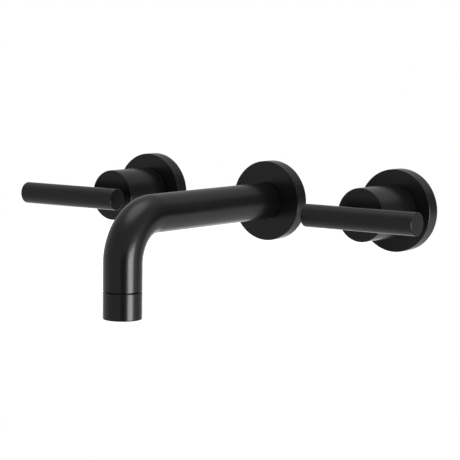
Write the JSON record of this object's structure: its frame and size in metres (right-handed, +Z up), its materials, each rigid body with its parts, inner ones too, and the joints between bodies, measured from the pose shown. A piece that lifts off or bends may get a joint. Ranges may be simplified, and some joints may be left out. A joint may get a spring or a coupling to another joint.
{
  "type": "wall mounted bath faucet",
  "caption": "Wall mounted bath faucet in matte black: quarter-turn lever valves for hot and cold, round cover plates and a fixed bent round spout with an aerator.",
  "frame": {"origin": "centre of the spout's cover plate on the finished wall plane, on the spout's axis", "axes": "+X to the right seen from the room, +Y into the wall, +Z up"},
  "size_m": [0.3152, 0.1916, 0.0901],
  "materials": {
    "black_coating": "satin",
    "brass": "satin",
    "stainless": "satin",
    "black_steel": "satin",
    "seal_rubber": "satin",
    "foam": "matte",
    "fibre": "matte",
    "ceramic": "polished",
    "white_plastic": "satin",
    "grey_plastic": "satin"
  },
  "bodies": {
    "fixed": {"spout_cover_plate": "black_coating", "spout_cover_gasket": "foam", "spout_cover_o_ring": "seal_rubber", "spout_nipple": "brass", "spout_nipple_washer": "fibre", "spout_nipple_o_rings": "seal_rubber", "spout_tube": "black_coating", "spout_grub_screw": "black_steel", "outlet_spigot": "black_coating", "outlet_sleeve": "black_coating", "aerator_washer": "seal_rubber", "aerator_housing": "white_plastic", "aerator_diffuser": "white_plastic", "aerator_screens": "stainless", "aerator_grid": "grey_plastic", "hot_cover_plate": "black_coating", "hot_cover_gasket": "foam", "hot_retaining_nut": "brass", "hot_cartridge_body": "brass", "hot_cartridge_washer": "fibre", "hot_inlet_seal": "seal_rubber", "hot_fixed_disc": "ceramic", "hot_thrust_washer": "white_plastic", "cold_cover_plate": "black_coating", "cold_cover_gasket": "foam", "cold_retaining_nut": "brass", "cold_cartridge_body": "brass", "cold_cartridge_washer": "fibre", "cold_inlet_seal": "seal_rubber", "cold_fixed_disc": "ceramic", "cold_thrust_washer": "white_plastic"},
    "hot_handle": {"hot_moving_disc": "ceramic", "hot_stem": "brass", "hot_stem_o_rings": "seal_rubber", "hot_circlip": "stainless", "hot_spline_adapter": "brass", "hot_adapter_screw": "stainless", "hot_handle_hub": "black_coating", "hot_hub_grub_screw": "black_steel", "hot_lever_post": "black_coating", "hot_lever_screw": "stainless", "hot_lever_rod": "black_coating"},
    "cold_handle": {"cold_moving_disc": "ceramic", "cold_stem": "brass", "cold_stem_o_rings": "seal_rubber", "cold_circlip": "stainless", "cold_spline_adapter": "brass", "cold_adapter_screw": "stainless", "cold_handle_hub": "black_coating", "cold_hub_grub_screw": "black_steel", "cold_lever_post": "black_coating", "cold_lever_screw": "stainless", "cold_lever_rod": "black_coating"}
  },
  "joints": [
    {"name": "hot_turn", "type": "hinge", "parent": "fixed", "child": "hot_handle", "pos_m": [-0.1016, -0.0302, 0], "axis": [0, -1, 0], "range_deg": [0, 90]},
    {"name": "cold_turn", "type": "hinge", "parent": "fixed", "child": "cold_handle", "pos_m": [0.1016, -0.0302, 0], "axis": [0, 1, 0], "range_deg": [0, 90]}
  ]
}
